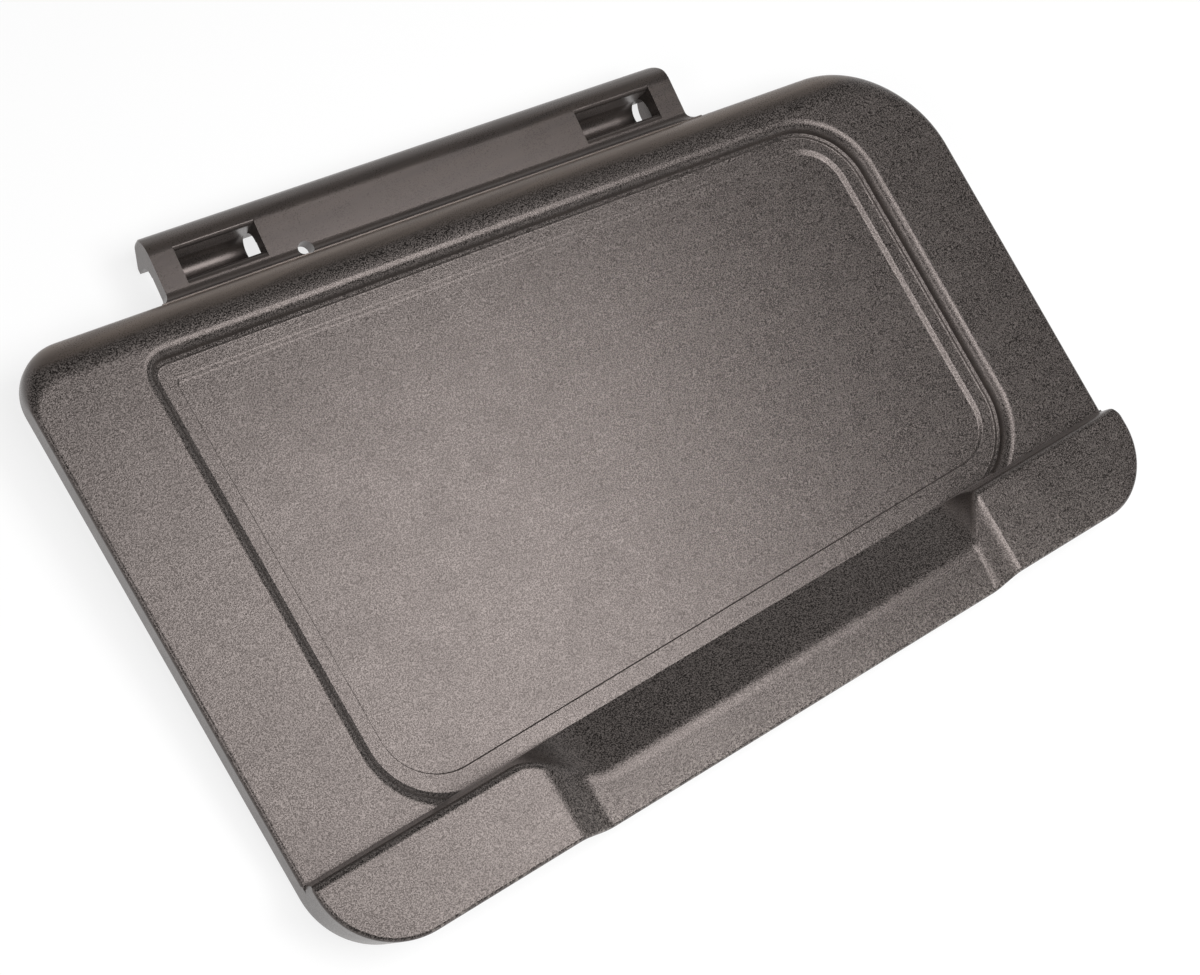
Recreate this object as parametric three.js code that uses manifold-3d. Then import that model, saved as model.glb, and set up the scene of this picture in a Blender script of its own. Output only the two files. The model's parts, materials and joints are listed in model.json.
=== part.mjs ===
// Side discharge deflector: a one-piece plastic flap that hangs on a hinge rod over a chute.
//
// It is a shell of even wall. Its face has a border, a sunk field, and along the foot a raised
// lip with a scooped middle for the fingers. The hinge strip leaves the upper edge at a slant,
// lies behind the face, and holds the rod in a channel that opens to the back and, at two
// windows, to the front, so that a plain two-part mould can form it.
//
// Millimetres. The part is drawn in the plane of its face, with X along the foot, Y up to the
// hinge and Z out of the face, the rim at Z = 0, and is then laid down as it comes to rest.

import * as THREE from 'three';
import { mergeVertices } from 'three/addons/utils/BufferGeometryUtils.js';
import Module from 'manifold-3d';

const wasm = await Module();
wasm.setup();

const radians = THREE.MathUtils.degToRad;
const mix = THREE.MathUtils.lerp;
const smooth = THREE.MathUtils.smoothstep;

// Driving dimensions of the plate
const WIDTH = 291;
const LEFT_HEIGHT = 179;
const HINGE_SLOPE = radians(5.5);
const FOOT_LEFT = -1;
const FOOT_SLOPE = radians(1.45);
const WALL = 3;
const BORDER_FACE = 8;
const TOP_ROLL = 6;
const EDGE_ROLL = 1.4;
const CORNER = { footRight: 21, topRight: 35, topLeft: 14, footLeft: 24 };

// The sunk field and the shallow step inside it
const RECESS_DEPTH = 4.5;
const RECESS_DRAFT = 0.8;
const RECESS_ROLL = 3.5;
const RECESS_FOOT_ROLL = 0.6;
const BORDER_LEFT = 34;
const BORDER_RIGHT = 32;
const BORDER_TOP = 15.2;
const RECESS_CORNER = { footRight: 22, topRight: 21, topLeft: 7, footLeft: 22 };
const BAND = 4.2;
const FIELD_FOOT = 29.4;
const FIELD_SLOPE = radians(0.33);
const FIELD_CORNER = { footRight: 14, topRight: 15, topLeft: 3, footLeft: 17.5 };
const STEP_DEPTH = 0.6;
const STEP_RUN = 0.9;

// The raised lip, from the crease at the foot of the face to the free edge
const CREASE_LEFT = 25.3;
const CREASE_SLOPE = radians(0.95);
const EAR_RISE = 7.9;
const EAR_DRAFT = 0.8;
const EAR_ROLL = 2.4;
const EAR_CORNER = { left: 2.5, right: 5 };
const SCOOP_RISE = 4.6;
const SCOOP_RUN = 15.5;
const SCOOP_ROLL = 9;
const SCOOP_FALL = 1.6;
const SCOOP_BULGE = 1.85;
const SCOOP_START = 68;
const SCOOP_SIDE = 13;
const SCOOP_LEAD = 6;
const SCOOP_SWEEP = 26;
const SCOOP_STOP = 231;
const SCOOP_STOP_RUN = 9;

// The hinge strip, measured along the upper edge and out from it
const HINGE_START = 48.8;
const HINGE_LENGTH = 170;
const WEB_FACE = 0.5;
const WEB_THICKNESS = 5;
const HOOK_HEIGHT = 20.8;
const HOOK_ROLL = 7;
const HOOK_DEPTH = 13.4;
const HOOK_TIP = 1.6;
const ROD_OUT = 9.4;
const ROD_BACK = 9.3;
const CHANNEL_RADIUS = 4;
const SADDLE_WALL = 2.8;
const WINDOW_LENGTH = { left: 24, right: 26.5 };
const WINDOW_MARGIN = { left: 7, right: 8 };
const WINDOW_ROLL = { upper: 1.4, lower: 2 };
const WINDOW_GAP = 0.8;
const STOP_WALL = 5;
const FOOT_FILLET = 3;
const HINGE_CORNER = { left: 1.5, right: 4 };
const SHUT_OFF = 0.2;
const STOP_SET_BACK = 0.5;
const SPRING_HOLE = 4.5;
const SPRING_HOLE_ALONG = 41.5;
const SPRING_HOLE_OUT = 2;

// Fineness of the facets
const CORNER_STEPS = 10;
const ROLL_STEPS = 5;
const FOOT_STEPS = 3;
const STATION_GAP = 1.45;

// Work values that only keep cuts and joins clean
const THROUGH = 40;
const PROUD = 1;
const SEAM = 0.4;
const LEAST_RADIUS = 0.3;
const LIFT = 0.03;
const ROOT_DEPTH = 2.6;
const GRID = 1e5;

// Heights that follow from the sizes above
const RECESS_FLOOR = BORDER_FACE - RECESS_DEPTH;
const EAR_FACE = BORDER_FACE + EAR_RISE;
const SCOOP_FACE = BORDER_FACE + SCOOP_RISE;
const SWEEP_START = SCOOP_START - SCOOP_LEAD;
const WEB_BACK = WEB_FACE - WEB_THICKNESS;
const ROD_Z = WEB_FACE - ROD_BACK;
const SADDLE_RADIUS = CHANNEL_RADIUS + SADDLE_WALL;

// A straight side: its outward direction and its distance from the origin
function side(angle, x, y) {
  return { angle, reach: Math.cos(angle) * x + Math.sin(angle) * y };
}

function meet(a, b, insetA, insetB) {
  const det = Math.sin(b.angle - a.angle);
  const da = a.reach - insetA;
  const db = b.reach - insetB;
  return new THREE.Vector2(
    (da * Math.sin(b.angle) - db * Math.sin(a.angle)) / det,
    (db * Math.cos(a.angle) - da * Math.cos(b.angle)) / det,
  );
}

// A convex outline from its sides, listed anticlockwise. Each side may grow by its own amount,
// and corner i lies between side i and the next one.
function roundedOutline(sides, radii, grow, steps = CORNER_STEPS) {
  const points = [];
  sides.forEach((a, i) => {
    const j = (i + 1) % sides.length;
    const b = sides[j];
    const radius = Math.max(LEAST_RADIUS, radii[i] + (grow[i] + grow[j]) / 2);
    const centre = meet(a, b, radius - grow[i], radius - grow[j]);
    const turn = THREE.MathUtils.euclideanModulo(b.angle - a.angle, 2 * Math.PI);
    for (let k = 0; k <= steps; k += 1) {
      const angle = a.angle + (turn * k) / steps;
      const spoke = new THREE.Vector2(Math.cos(angle), Math.sin(angle));
      points.push(spoke.multiplyScalar(radius).add(centre));
    }
  });
  return points;
}

// A closed body through rings of equal count, each an anticlockwise loop seen from the far end
function loft(rings) {
  const count = rings[0].length;
  const positions = rings.flat().flatMap((p) => [p.x, p.y, p.z]).map((v) => Math.round(v * GRID) / GRID);
  const index = [];
  for (let r = 0; r < rings.length - 1; r += 1) {
    for (let i = 0; i < count; i += 1) {
      const a = r * count + i;
      const b = r * count + ((i + 1) % count);
      index.push(a, b, b + count, a, b + count, a + count);
    }
  }
  const last = (rings.length - 1) * count;
  for (let i = 1; i < count - 1; i += 1) {
    index.push(0, i + 1, i);
    index.push(last, last + i, last + i + 1);
  }
  const geometry = new THREE.BufferGeometry();
  geometry.setAttribute('position', new THREE.Float32BufferAttribute(positions, 3));
  geometry.setIndex(index);
  return geometry;
}

function solid(geometry) {
  const bare = geometry.clone();
  bare.deleteAttribute('normal');
  bare.deleteAttribute('uv');
  const merged = mergeVertices(bare);
  return new wasm.Manifold(new wasm.Mesh({
    numProp: 3,
    vertProperties: new Float32Array(merged.attributes.position.array),
    triVerts: new Uint32Array(merged.index.array),
  }));
}

function backToGeometry(body) {
  const mesh = body.getMesh();
  const geometry = new THREE.BufferGeometry();
  geometry.setAttribute('position', new THREE.BufferAttribute(mesh.vertProperties, 3));
  geometry.setIndex(new THREE.BufferAttribute(mesh.triVerts, 1));
  return geometry;
}

// Sides of the plate, in the order foot, right, top, left
const FOOT = side(-Math.PI / 2 - FOOT_SLOPE, 0, FOOT_LEFT);
const RIGHT = side(0, WIDTH, 0);
const TOP = side(Math.PI / 2 - HINGE_SLOPE, 0, LEFT_HEIGHT);
const LEFT = side(Math.PI, 0, 0);
const CREASE = side(-Math.PI / 2 - CREASE_SLOPE, 0, CREASE_LEFT);
const EAR_TOP = side(Math.PI / 2 - CREASE_SLOPE, 0, CREASE_LEFT + SEAM);

const creaseAt = (x) => CREASE_LEFT - x * Math.tan(CREASE_SLOPE);
const footAt = (x) => FOOT_LEFT - x * Math.tan(FOOT_SLOPE);

// How far a station along the foot lies inside the scoop: 0 on the ears, 1 in the middle. The
// inner wall starts to lie down a little before the top starts to fall.
const closing = (x) => 1 - smooth(x, SCOOP_STOP - SCOOP_STOP_RUN, SCOOP_STOP);
const scoopHeight = (x) => smooth(x, SCOOP_START, SCOOP_START + SCOOP_SIDE) * closing(x);
const scoopSweep = (x) => smooth(x, SWEEP_START, SWEEP_START + SCOOP_SWEEP) * closing(x);

// Inset of a rolled edge at a height: a quarter round that ends level with the face
function rollInset(radius, face, z) {
  const rise = z - (face - radius);
  return rise <= 0 ? 0 : radius - Math.sqrt(Math.max(0, radius * radius - rise * rise));
}

function rollLevels(radius, face) {
  return Array.from({ length: ROLL_STEPS + 1 }, (_, k) => {
    const angle = (Math.PI / 2) * (k / ROLL_STEPS);
    return face - radius + radius * Math.sin(angle);
  });
}

const atHeight = (points, z) => points.map((p) => new THREE.Vector3(p.x, p.y, z));

// The plate above the crease, solid, with its upper edge rolled over more than its sides
function plateBody() {
  const sides = [CREASE, RIGHT, TOP, LEFT];
  const radii = [0, CORNER.topRight, CORNER.topLeft, 0];
  const levels = [...rollLevels(TOP_ROLL, BORDER_FACE), ...rollLevels(EDGE_ROLL, BORDER_FACE).slice(0, -1)];
  const heights = [0, ...levels].sort((a, b) => a - b);
  return loft(heights.map((z) => {
    const edge = -rollInset(EDGE_ROLL, BORDER_FACE, z);
    const top = -rollInset(TOP_ROLL, BORDER_FACE, z);
    return atHeight(roundedOutline(sides, radii, [SEAM, edge, top, edge]), z);
  }));
}

// Foot line of the recess wall. Its lower side runs past the crease, where the lip takes over.
const RECESS_SIDES = [
  CREASE,
  side(0, WIDTH - BORDER_RIGHT, 0),
  side(TOP.angle, 0, LEFT_HEIGHT - BORDER_TOP / Math.cos(HINGE_SLOPE)),
  side(Math.PI, BORDER_LEFT, 0),
];
const RECESS_RADII = [
  RECESS_CORNER.footRight, RECESS_CORNER.topRight, RECESS_CORNER.topLeft, RECESS_CORNER.footLeft,
];
const evenly = (amount, lower = amount) => [lower, amount, amount, amount];

// The wall's upper edge is rolled as far as its depth allows
function recessCut() {
  const roll = Math.min(RECESS_ROLL, RECESS_DEPTH - RECESS_FOOT_ROLL);
  const ring = (grow, z) => (
    atHeight(roundedOutline(RECESS_SIDES, RECESS_RADII, evenly(grow, grow + PROUD)), z));
  const rings = [];
  for (let k = 0; k <= FOOT_STEPS; k += 1) {
    const angle = (Math.PI / 2) * (k / FOOT_STEPS);
    const grow = -RECESS_FOOT_ROLL * (1 - Math.sin(angle));
    rings.push(ring(grow, RECESS_FLOOR + RECESS_FOOT_ROLL * (1 - Math.cos(angle))));
  }
  for (let k = 0; k <= ROLL_STEPS; k += 1) {
    const angle = (Math.PI / 2) * (k / ROLL_STEPS);
    const grow = RECESS_DRAFT + roll * (1 - Math.cos(angle));
    rings.push(ring(grow, BORDER_FACE - roll * (1 - Math.sin(angle))));
  }
  rings.push(ring(RECESS_DRAFT + roll, EAR_FACE + PROUD));
  return loft(rings);
}

// Edge of the field, a band inside the recess wall, with a foot line of its own
const FIELD_SIDES = [
  side(-Math.PI / 2 - FIELD_SLOPE, 0, FIELD_FOOT),
  ...RECESS_SIDES.slice(1).map(({ angle, reach }) => ({ angle, reach: reach - BAND })),
];
const FIELD_RADII = [
  FIELD_CORNER.footRight, FIELD_CORNER.topRight, FIELD_CORNER.topLeft, FIELD_CORNER.footLeft,
];

function fieldCut() {
  const ring = (grow, z) => atHeight(roundedOutline(FIELD_SIDES, FIELD_RADII, evenly(grow)), z);
  return loft([
    ring(-STEP_RUN, RECESS_FLOOR - STEP_DEPTH),
    ring(0, RECESS_FLOOR),
    ring(0, RECESS_FLOOR + PROUD),
  ]);
}

// Hollow behind the border; the tray of the recess stands in it
function plateHollow() {
  const sides = [CREASE, RIGHT, TOP, LEFT];
  const radii = [0, CORNER.topRight, CORNER.topLeft, 0];
  const ring = (inset, z) => atHeight(roundedOutline(sides, radii, evenly(-inset, WALL + PROUD)), z);
  const ceiling = BORDER_FACE - WALL;
  const room = solid(loft([
    ring(WALL, -THROUGH),
    ring(WALL, ceiling - PROUD),
    ring(WALL + PROUD, ceiling),
  ]));
  const trayRing = (z) => atHeight(roundedOutline(RECESS_SIDES, RECESS_RADII, evenly(WALL, 2 * WALL)), z);
  const tray = solid(loft([trayRing(RECESS_FLOOR - STEP_DEPTH - WALL), trayRing(BORDER_FACE + PROUD)]));
  return room.subtract(tray);
}

// Length of the lip from the crease to its free edge, and its face along that length
const lipLength = (x) => creaseAt(x) - footAt(x) + SCOOP_BULGE * scoopHeight(x);
const lipRun = (x) => mix(EAR_DRAFT, SCOOP_RUN, scoopSweep(x));
const lipCrest = (x) => mix(EAR_FACE, SCOOP_FACE, scoopHeight(x));
const lipFall = (x) => (SCOOP_FALL * scoopHeight(x)) / (lipLength(x) - lipRun(x));
const lipFace = (x, v) => lipCrest(x) - lipFall(x) * (v - lipRun(x));

// One section across the lip: v runs from the crease to past the free edge, z out of the face
function lipSection(x, inset) {
  const start = mix(BORDER_FACE, RECESS_FLOOR, scoopSweep(x));
  const rampAngle = Math.atan2(lipRun(x), lipCrest(x) - start);
  const sides = [
    side(-Math.PI / 2, 0, 0),
    side(0, lipLength(x) + PROUD, 0),
    side(Math.PI / 2 - Math.atan(lipFall(x)), lipRun(x), lipCrest(x)),
    side(Math.PI - rampAngle, 0, start),
    side(Math.PI, 0, 0),
  ];
  const shoulder = mix(EAR_ROLL, SCOOP_ROLL, scoopSweep(x));
  const below = inset > 0 ? THROUGH : 0;
  const grow = [below, -inset, -inset, -inset, -inset];
  return roundedOutline(sides, [0, 0, shoulder, 0, 0], grow, ROLL_STEPS)
    .map((p) => new THREE.Vector3(x, creaseAt(x) - p.x, p.y))
    .reverse();
}

// Places along the foot, close together where the section changes
function lipStations() {
  const marks = [SWEEP_START, SCOOP_START + SCOOP_SIDE, SWEEP_START + SCOOP_SWEEP].sort((a, b) => a - b);
  const between = (from, to) => {
    const count = Math.ceil((to - from) / STATION_GAP);
    return Array.from({ length: count }, (_, k) => mix(from, to, k / count));
  };
  return [
    -PROUD,
    ...between(marks[0], marks[1]),
    ...between(marks[1], marks[2]),
    marks[2],
    ...between(SCOOP_STOP - SCOOP_STOP_RUN, SCOOP_STOP),
    SCOOP_STOP,
    WIDTH + PROUD,
  ];
}

// Plan of the whole plate, and above its face only of the lip, whose ears have round corners at
// the crease. The foot swells a little where the lip is scooped, and the roll of the free edge
// follows the lip's face down and up again there.
function planPrism(inset, from, roll) {
  const { footRight, topRight, topLeft, footLeft } = CORNER;
  const plate = { sides: [FOOT, RIGHT, TOP, LEFT], radii: [footRight, topRight, topLeft, footLeft] };
  const ears = {
    sides: [FOOT, RIGHT, EAR_TOP, LEFT],
    radii: [footRight, EAR_CORNER.right, EAR_CORNER.left, footLeft],
  };
  const swell = lipStations().filter((x) => x >= SWEEP_START && x <= SCOOP_STOP);
  const ring = ({ sides, radii }, shift, z, drop) => {
    const outline = roundedOutline(sides, radii, evenly(-shift));
    const foot = swell.map((x) => new THREE.Vector3(
      x,
      footAt(x) + shift - SCOOP_BULGE * scoopHeight(x),
      z - drop * (EAR_FACE - lipFace(x, lipLength(x) - roll)),
    ));
    return [...atHeight(outline, z), ...foot];
  };
  const face = EAR_FACE + LIFT;
  return loft([
    ring(plate, inset, from, 0),
    ring(plate, inset, BORDER_FACE, 0),
    ring(ears, inset, BORDER_FACE, 0),
    ...rollLevels(roll, face).map((z) => ring(ears, inset + rollInset(roll, face, z), z, 1)),
    ring(ears, inset + roll, face + PROUD, 0),
  ]);
}

function lipBody() {
  const sweep = solid(loft(lipStations().map((x) => lipSection(x, 0))));
  return sweep.intersect(solid(planPrism(0, 0, EDGE_ROLL)));
}

function lipHollow() {
  const sweep = solid(loft(lipStations().map((x) => lipSection(x, WALL))));
  return sweep.intersect(solid(planPrism(WALL, -THROUGH, LEAST_RADIUS)));
}

// The hinge strip has its own frame: along the upper edge, out from it, and the face direction
const ALONG = new THREE.Vector3(Math.cos(HINGE_SLOPE), -Math.sin(HINGE_SLOPE), 0);
const OUT = new THREE.Vector3(Math.sin(HINGE_SLOPE), Math.cos(HINGE_SLOPE), 0);
const UP = new THREE.Vector3(0, 0, 1);
const HINGE_FRAME = new THREE.Matrix4().makeBasis(OUT, UP, ALONG).setPosition(0, LEFT_HEIGHT, 0);

function alongHinge(shape, start, length) {
  const geometry = new THREE.ExtrudeGeometry(shape, {
    depth: length, bevelEnabled: false, curveSegments: CORNER_STEPS,
  });
  return solid(geometry.translate(0, 0, start).applyMatrix4(HINGE_FRAME));
}

// Web and hook: the root under the upper edge, the face, the rolled top and the tip behind it
function hookShape() {
  const shape = new THREE.Shape();
  const topCentre = HOOK_HEIGHT - HOOK_ROLL;
  const tip = WEB_FACE - HOOK_DEPTH;
  shape.moveTo(-ROOT_DEPTH, WEB_BACK);
  shape.lineTo(ROD_OUT, WEB_BACK);
  shape.lineTo(ROD_OUT, tip);
  shape.lineTo(ROD_OUT + CHANNEL_RADIUS + HOOK_TIP, tip);
  shape.absarc(topCentre, WEB_FACE - HOOK_ROLL, HOOK_ROLL, 0, Math.PI / 2, false);
  shape.lineTo(FOOT_FILLET, WEB_FACE);
  shape.absarc(FOOT_FILLET, WEB_FACE + FOOT_FILLET, FOOT_FILLET, -Math.PI / 2, -Math.PI, true);
  shape.lineTo(-ROOT_DEPTH, WEB_FACE + FOOT_FILLET);
  shape.closePath();
  return shape;
}

// Plan of the strip: its ends flare into the upper edge, and its outer corners are rounded
function stripPlan() {
  const shape = new THREE.Shape();
  const end = HINGE_LENGTH;
  const top = HOOK_HEIGHT + PROUD;
  const right = HINGE_CORNER.right + PROUD;
  const left = HINGE_CORNER.left + PROUD;
  shape.moveTo(-FOOT_FILLET, -ROOT_DEPTH - PROUD);
  shape.lineTo(end + FOOT_FILLET, -ROOT_DEPTH - PROUD);
  shape.lineTo(end + FOOT_FILLET, 0);
  shape.absarc(end + FOOT_FILLET, FOOT_FILLET, FOOT_FILLET, -Math.PI / 2, -Math.PI, true);
  shape.absellipse(end - HINGE_CORNER.right, top - right, HINGE_CORNER.right, right, 0, Math.PI / 2);
  shape.absellipse(HINGE_CORNER.left, top - left, HINGE_CORNER.left, left, Math.PI / 2, Math.PI);
  shape.absarc(-FOOT_FILLET, FOOT_FILLET, FOOT_FILLET, 0, -Math.PI / 2, true);
  shape.closePath();
  const geometry = new THREE.ExtrudeGeometry(shape, {
    depth: THROUGH, bevelEnabled: false, curveSegments: ROLL_STEPS,
  });
  const flat = new THREE.Matrix4().makeBasis(ALONG, OUT, UP).setPosition(0, LEFT_HEIGHT, 0);
  return solid(geometry.translate(HINGE_START, 0, -THROUGH / 2).applyMatrix4(flat));
}

// The rod's channel, open towards the back
function channelShape() {
  const shape = new THREE.Shape();
  shape.moveTo(ROD_OUT + CHANNEL_RADIUS, ROD_Z - THROUGH);
  shape.absarc(ROD_OUT, ROD_Z, CHANNEL_RADIUS, 0, Math.PI);
  shape.lineTo(ROD_OUT - CHANNEL_RADIUS, ROD_Z - THROUGH);
  shape.closePath();
  return shape;
}

// The same channel at a window, open towards the face, with its upper and lower edge rolled
function windowShape() {
  const shape = new THREE.Shape();
  const { upper, lower } = WINDOW_ROLL;
  const above = ROD_OUT + CHANNEL_RADIUS + upper;
  const below = ROD_OUT - CHANNEL_RADIUS - lower;
  shape.absarc(ROD_OUT, ROD_Z, CHANNEL_RADIUS, Math.PI, 2 * Math.PI);
  shape.absarc(above, WEB_FACE - upper, upper, Math.PI, Math.PI / 2, true);
  shape.lineTo(above, THROUGH);
  shape.lineTo(below, THROUGH);
  shape.absarc(below, WEB_FACE - lower, lower, Math.PI / 2, 0, true);
  shape.closePath();
  return shape;
}

// Outline of a saddle and of the stop wall: a trough round the rod that hangs on the hook. A
// saddle ends a little short of its window, so that the window is open right through there.
function saddleShape() {
  const shape = new THREE.Shape();
  const buried = WEB_BACK + PROUD;
  shape.moveTo(ROD_OUT - SADDLE_RADIUS, buried);
  shape.absarc(ROD_OUT, ROD_Z, SADDLE_RADIUS, Math.PI, 2 * Math.PI, false);
  shape.lineTo(ROD_OUT + SADDLE_RADIUS, buried);
  shape.closePath();
  return shape;
}

function hingeStrip() {
  const start = HINGE_START - FOOT_FILLET - PROUD;
  const end = HINGE_START + HINGE_LENGTH;
  const windows = [
    { from: HINGE_START + WINDOW_MARGIN.left, length: WINDOW_LENGTH.left },
    { from: end - WINDOW_MARGIN.right - WINDOW_LENGTH.right, length: WINDOW_LENGTH.right },
  ];
  let strip = alongHinge(hookShape(), start, HINGE_LENGTH + 2 * (FOOT_FILLET + PROUD))
    .intersect(stripPlan())
    .subtract(alongHinge(channelShape(), start, end - start - STOP_WALL / 2))
    .add(alongHinge(saddleShape(), end - STOP_WALL, STOP_WALL - STOP_SET_BACK));
  windows.forEach(({ from, length }) => {
    strip = strip
      .add(alongHinge(saddleShape(), from + SHUT_OFF, length - SHUT_OFF - WINDOW_GAP))
      .subtract(alongHinge(windowShape(), from, length));
  });
  const hole = new THREE.CylinderGeometry(SPRING_HOLE / 2, SPRING_HOLE / 2, THROUGH, 2 * CORNER_STEPS)
    .translate(SPRING_HOLE_OUT, -THROUGH / 2 + WEB_FACE + FOOT_FILLET / 2, HINGE_START + SPRING_HOLE_ALONG)
    .applyMatrix4(HINGE_FRAME);
  return strip.subtract(solid(hole));
}

function deflector() {
  return solid(plateBody())
    .subtract(solid(recessCut()))
    .subtract(solid(fieldCut()))
    .add(lipBody())
    .subtract(plateHollow())
    .subtract(lipHollow())
    .add(hingeStrip());
}

// At rest, face up, it touches the ground at two points of the lip's rim, the corner and the
// start of the swell, and at the hinge's stop wall
function restTurn() {
  const rim = (x) => new THREE.Vector3(x, footAt(x) - SCOOP_BULGE * scoopHeight(x), 0);
  const corner = rim(CORNER.footLeft);
  const swell = rim(SCOOP_START + SCOOP_SIDE);
  const stop = HINGE_START + HINGE_LENGTH - STOP_SET_BACK;
  const heel = new THREE.Vector3(ROD_OUT, ROD_Z - SADDLE_RADIUS, stop).applyMatrix4(HINGE_FRAME);
  const normal = swell.sub(corner).cross(heel.sub(corner)).normalize();
  return new THREE.Quaternion().setFromUnitVectors(normal, UP);
}

const plastic = new THREE.MeshStandardMaterial({ color: 0x3b3735, roughness: 0.6, metalness: 0 });
const mesh = new THREE.Mesh(backToGeometry(deflector()), plastic);
mesh.name = 'deflector';
mesh.quaternion.copy(restTurn());
mesh.updateMatrixWorld(true);

// The origin is under the middle of the part, on the ground
const box = new THREE.Box3().setFromObject(mesh, true);
const middle = box.getCenter(new THREE.Vector3());
mesh.position.set(-middle.x, -middle.y, -box.min.z);

const group = new THREE.Group();
group.add(mesh);

export default group;
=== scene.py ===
# %% [markdown]
# # A side discharge deflector
# The object is one plastic moulding: the flap that hangs over the side outlet of a garden
# machine. Its face has a border, a sunk field and a scooped lip for the fingers, and along its
# upper edge runs a hinge strip with a channel for the rod.
# A moulding like this could be pushed and pulled from a cube by hand, but every radius on it is
# a size that a toolmaker set. So each form is worked out here from its sizes, as rings of points
# that are skinned into a body, and the bodies are joined and cut like the halves of a mould.

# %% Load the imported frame
import json
import math
import bpy
from mathutils import Matrix, Vector


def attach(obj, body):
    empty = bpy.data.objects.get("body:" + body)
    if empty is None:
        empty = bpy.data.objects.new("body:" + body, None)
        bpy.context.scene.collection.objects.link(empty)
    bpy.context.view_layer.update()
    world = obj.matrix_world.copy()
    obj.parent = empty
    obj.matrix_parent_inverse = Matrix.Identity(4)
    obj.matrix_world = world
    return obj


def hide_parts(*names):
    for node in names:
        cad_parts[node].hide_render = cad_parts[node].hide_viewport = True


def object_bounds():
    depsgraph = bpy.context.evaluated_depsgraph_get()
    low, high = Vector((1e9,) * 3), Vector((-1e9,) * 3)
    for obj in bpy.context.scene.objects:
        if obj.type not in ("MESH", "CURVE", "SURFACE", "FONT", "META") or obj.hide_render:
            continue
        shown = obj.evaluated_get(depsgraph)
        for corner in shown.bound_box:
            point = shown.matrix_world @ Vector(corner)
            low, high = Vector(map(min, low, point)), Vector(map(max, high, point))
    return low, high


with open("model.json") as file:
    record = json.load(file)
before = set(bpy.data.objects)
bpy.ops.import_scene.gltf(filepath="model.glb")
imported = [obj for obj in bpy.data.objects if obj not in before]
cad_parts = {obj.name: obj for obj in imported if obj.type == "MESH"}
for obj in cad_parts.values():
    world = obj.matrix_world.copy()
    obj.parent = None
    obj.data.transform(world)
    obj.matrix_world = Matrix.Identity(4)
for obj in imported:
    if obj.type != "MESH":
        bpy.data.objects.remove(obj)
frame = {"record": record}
cad_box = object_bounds()
low, high = cad_box
print("the packed part is", [round(1000 * side) for side in high - low], "mm")

# %% [markdown]
# ## How the part lies
# It is drawn flat, in millimetres, with X along the foot, Y up to the hinge and Z out of the
# face. On the ground it leans a little, because the hinge strip reaches lower than the rim. The
# frame knows that lean: the mount on its back gives one point of the back and the way it faces.
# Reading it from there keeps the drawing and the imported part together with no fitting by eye.

# %% Lay the drawing on the ground
BACK_POINT = Vector((146, 90, 0))
MM = 0.001

back = next(mount for mount in frame["record"]["mounts"] if mount["name"] == "back")
face_up = -Vector(back["axis"])
lean = Vector((0, 0, 1)).rotation_difference(face_up)
shift = Vector(back["pos_m"]) - lean @ (BACK_POINT * MM)
lay = Matrix.Translation(shift) @ lean.to_matrix().to_4x4() @ Matrix.Scale(MM, 4)
print("the face leans by", round(math.degrees(lean.angle), 2), "degrees")

# %% [markdown]
# ## The camera
# The photograph looks down on the face from the left, close enough for the near corner to look
# larger than the far one. The camera could be found by trial, but four straight edges of a flat
# face already fix its place, its aim and its tilt, so those values are written down here.

# %% Place the camera
CAMERA_EYE = Vector((-139.60, 70.00, 556.30))
CAMERA_AIM = Vector((0.438543, 0.009605, -0.898659))
CAMERA_UP = Vector((0.442628, 0.867946, 0.225278))
CAMERA_LENS = 66
CAMERA_FILM = 36
CAMERA_NEAREST = 0.01

camera = bpy.data.objects.new("camera", bpy.data.cameras.new("camera"))
camera.data.lens = CAMERA_LENS
camera.data.sensor_width = CAMERA_FILM
camera.data.clip_start = CAMERA_NEAREST
bpy.context.collection.objects.link(camera)
sight = Matrix((CAMERA_AIM.cross(CAMERA_UP), CAMERA_UP, -CAMERA_AIM)).transposed()
camera.matrix_world = Matrix.Translation(lay @ CAMERA_EYE) @ (lean.to_matrix() @ sight).to_4x4()
bpy.context.scene.camera = camera
print("the camera stands", round((lay @ CAMERA_EYE).z, 3), "m above the ground")

# %% [markdown]
# ## Outlines with rounded corners
# Every level of the plate is the same figure: four straight sides and four round corners. Each
# side is kept as a direction and a distance, so one side can move in or out without the others,
# and the corners stay true arcs. Scaling a finished outline would bend the walls' thickness.

# %% Sides, corners and outlines
CORNER_STEPS = 36
LEAST_RADIUS = 0.05


def side(angle, x, y):
    """A straight side that faces the angle and runs through the point."""
    return angle, math.cos(angle) * x + math.sin(angle) * y


def corner_point(first, second, inset_first, inset_second):
    """Where two sides meet once each has moved inwards."""
    reach_first = first[1] - inset_first
    reach_second = second[1] - inset_second
    turn = math.sin(second[0] - first[0])
    x = (reach_first * math.sin(second[0]) - reach_second * math.sin(first[0])) / turn
    y = (reach_second * math.cos(first[0]) - reach_first * math.cos(second[0])) / turn
    return x, y


def outline(sides, radii, grow, steps=CORNER_STEPS):
    """Points round a convex figure whose sides each grow by their own amount.

    Corner i lies between side i and the next.
    """
    points = []
    for i, first in enumerate(sides):
        j = (i + 1) % len(sides)
        radius = max(LEAST_RADIUS, radii[i] + (grow[i] + grow[j]) / 2)
        x, y = corner_point(first, sides[j], radius - grow[i], radius - grow[j])
        turn = (sides[j][0] - first[0]) % math.tau
        for k in range(steps + 1):
            angle = first[0] + turn * k / steps
            points.append((x + radius * math.cos(angle), y + radius * math.sin(angle)))
    return points


def at_height(points, z):
    """Lifts flat points to a level."""
    return [(x, y, z) for x, y in points]


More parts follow.
